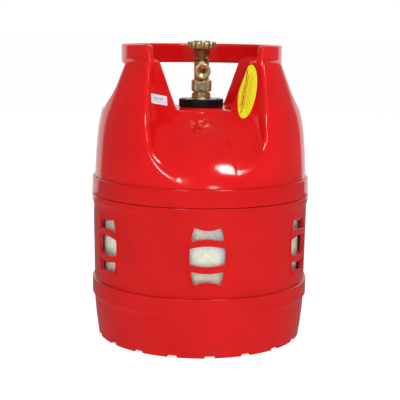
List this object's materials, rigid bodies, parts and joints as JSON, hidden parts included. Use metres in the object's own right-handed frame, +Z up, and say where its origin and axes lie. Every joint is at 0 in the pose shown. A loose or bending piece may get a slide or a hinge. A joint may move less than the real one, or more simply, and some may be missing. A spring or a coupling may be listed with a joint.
{
  "type": "gas cylinder",
  "caption": "Composite gas cylinder in a two-part plastic casing with an open carrying ring, viewing windows and a handwheel valve with a side outlet.",
  "frame": {"origin": "centre of the foot, on the plane that the cylinder stands on", "axes": "+Z up along the cylinder's axis; -Y the front, the way the valve outlet points and the side where the carrying ring is open; +X completes a right-handed frame"},
  "size_m": [0.305, 0.305, 0.411],
  "materials": {
    "casing_red": "glossy injection-moulded polyethylene",
    "winding": "clear resin over wound glass fibre, satin",
    "liner_plastic": "natural polyethylene",
    "boss_metal": "turned",
    "flange_black": "black glass-filled nylon, satin",
    "valve_brass": "forged brass, dull and slightly tarnished",
    "wheel_brass": "cast brass, dull",
    "bright_brass": "turned brass",
    "spring_steel": "drawn wire",
    "seal_rubber": "nitrile rubber",
    "seat_polymer": "nylon",
    "cap_grey": "moulded polymer",
    "label_yellow": "printed film",
    "label_white": "printed paper"
  },
  "bodies": {
    "tank": {"upper_casing": "casing_red", "lower_casing": "casing_red", "composite_shell": "winding", "inner_liner": "liner_plastic", "neck_boss": "boss_metal", "boss_o_ring": "seal_rubber", "neck_flange": "flange_black", "valve_body": "valve_brass", "valve_bonnet": "valve_brass", "bonnet_seal": "seat_polymer", "gland_seal": "seal_rubber", "lock_pins": "bright_brass", "relief_plug": "valve_brass", "relief_dust_cap": "cap_grey", "relief_spring": "spring_steel", "safety_label": "label_yellow", "barcode_label": "label_white", "winding_label": "label_white"},
    "handwheel_and_stem": {"handwheel": "wheel_brass", "handwheel_washer": "bright_brass", "handwheel_nut": "wheel_brass", "spindle_upper": "bright_brass"},
    "seat_carrier": {"seat_holder": "bright_brass", "seat_disc": "seat_polymer"},
    "lower_stem": {"spindle_lower": "bright_brass"},
    "relief_lifter": {"relief_poppet": "bright_brass", "relief_seal": "seal_rubber"}
  },
  "joints": [
    {"name": "handwheel_turn", "type": "hinge", "parent": "tank", "child": "handwheel_and_stem", "pos_m": [0, 0, 0.4], "axis": [0, 0, 1], "range_deg": [0, 720]},
    {"name": "seat_lift", "type": "slide", "parent": "tank", "child": "seat_carrier", "axis": [0, 0, 1], "range_m": [0, 0.00301]},
    {"name": "lower_stem_turn", "type": "hinge", "parent": "seat_carrier", "child": "lower_stem", "pos_m": [0, 0, 0.376], "axis": [0, 0, 1], "range_deg": [0, 721]},
    {"name": "relief_lift", "type": "slide", "parent": "tank", "child": "relief_lifter", "axis": [0, -1, 0], "range_m": [0, 0.0012], "stiffness_N_per_m": 500, "springref_m": -0.002, "deforming": ["relief_spring"]}
  ],
  "couplings": [
    {"joint": "seat_lift", "follows": "handwheel_turn", "m_per_rad": 0.00023873},
    {"joint": "lower_stem_turn", "follows": "handwheel_turn", "ratio": 1}
  ]
}
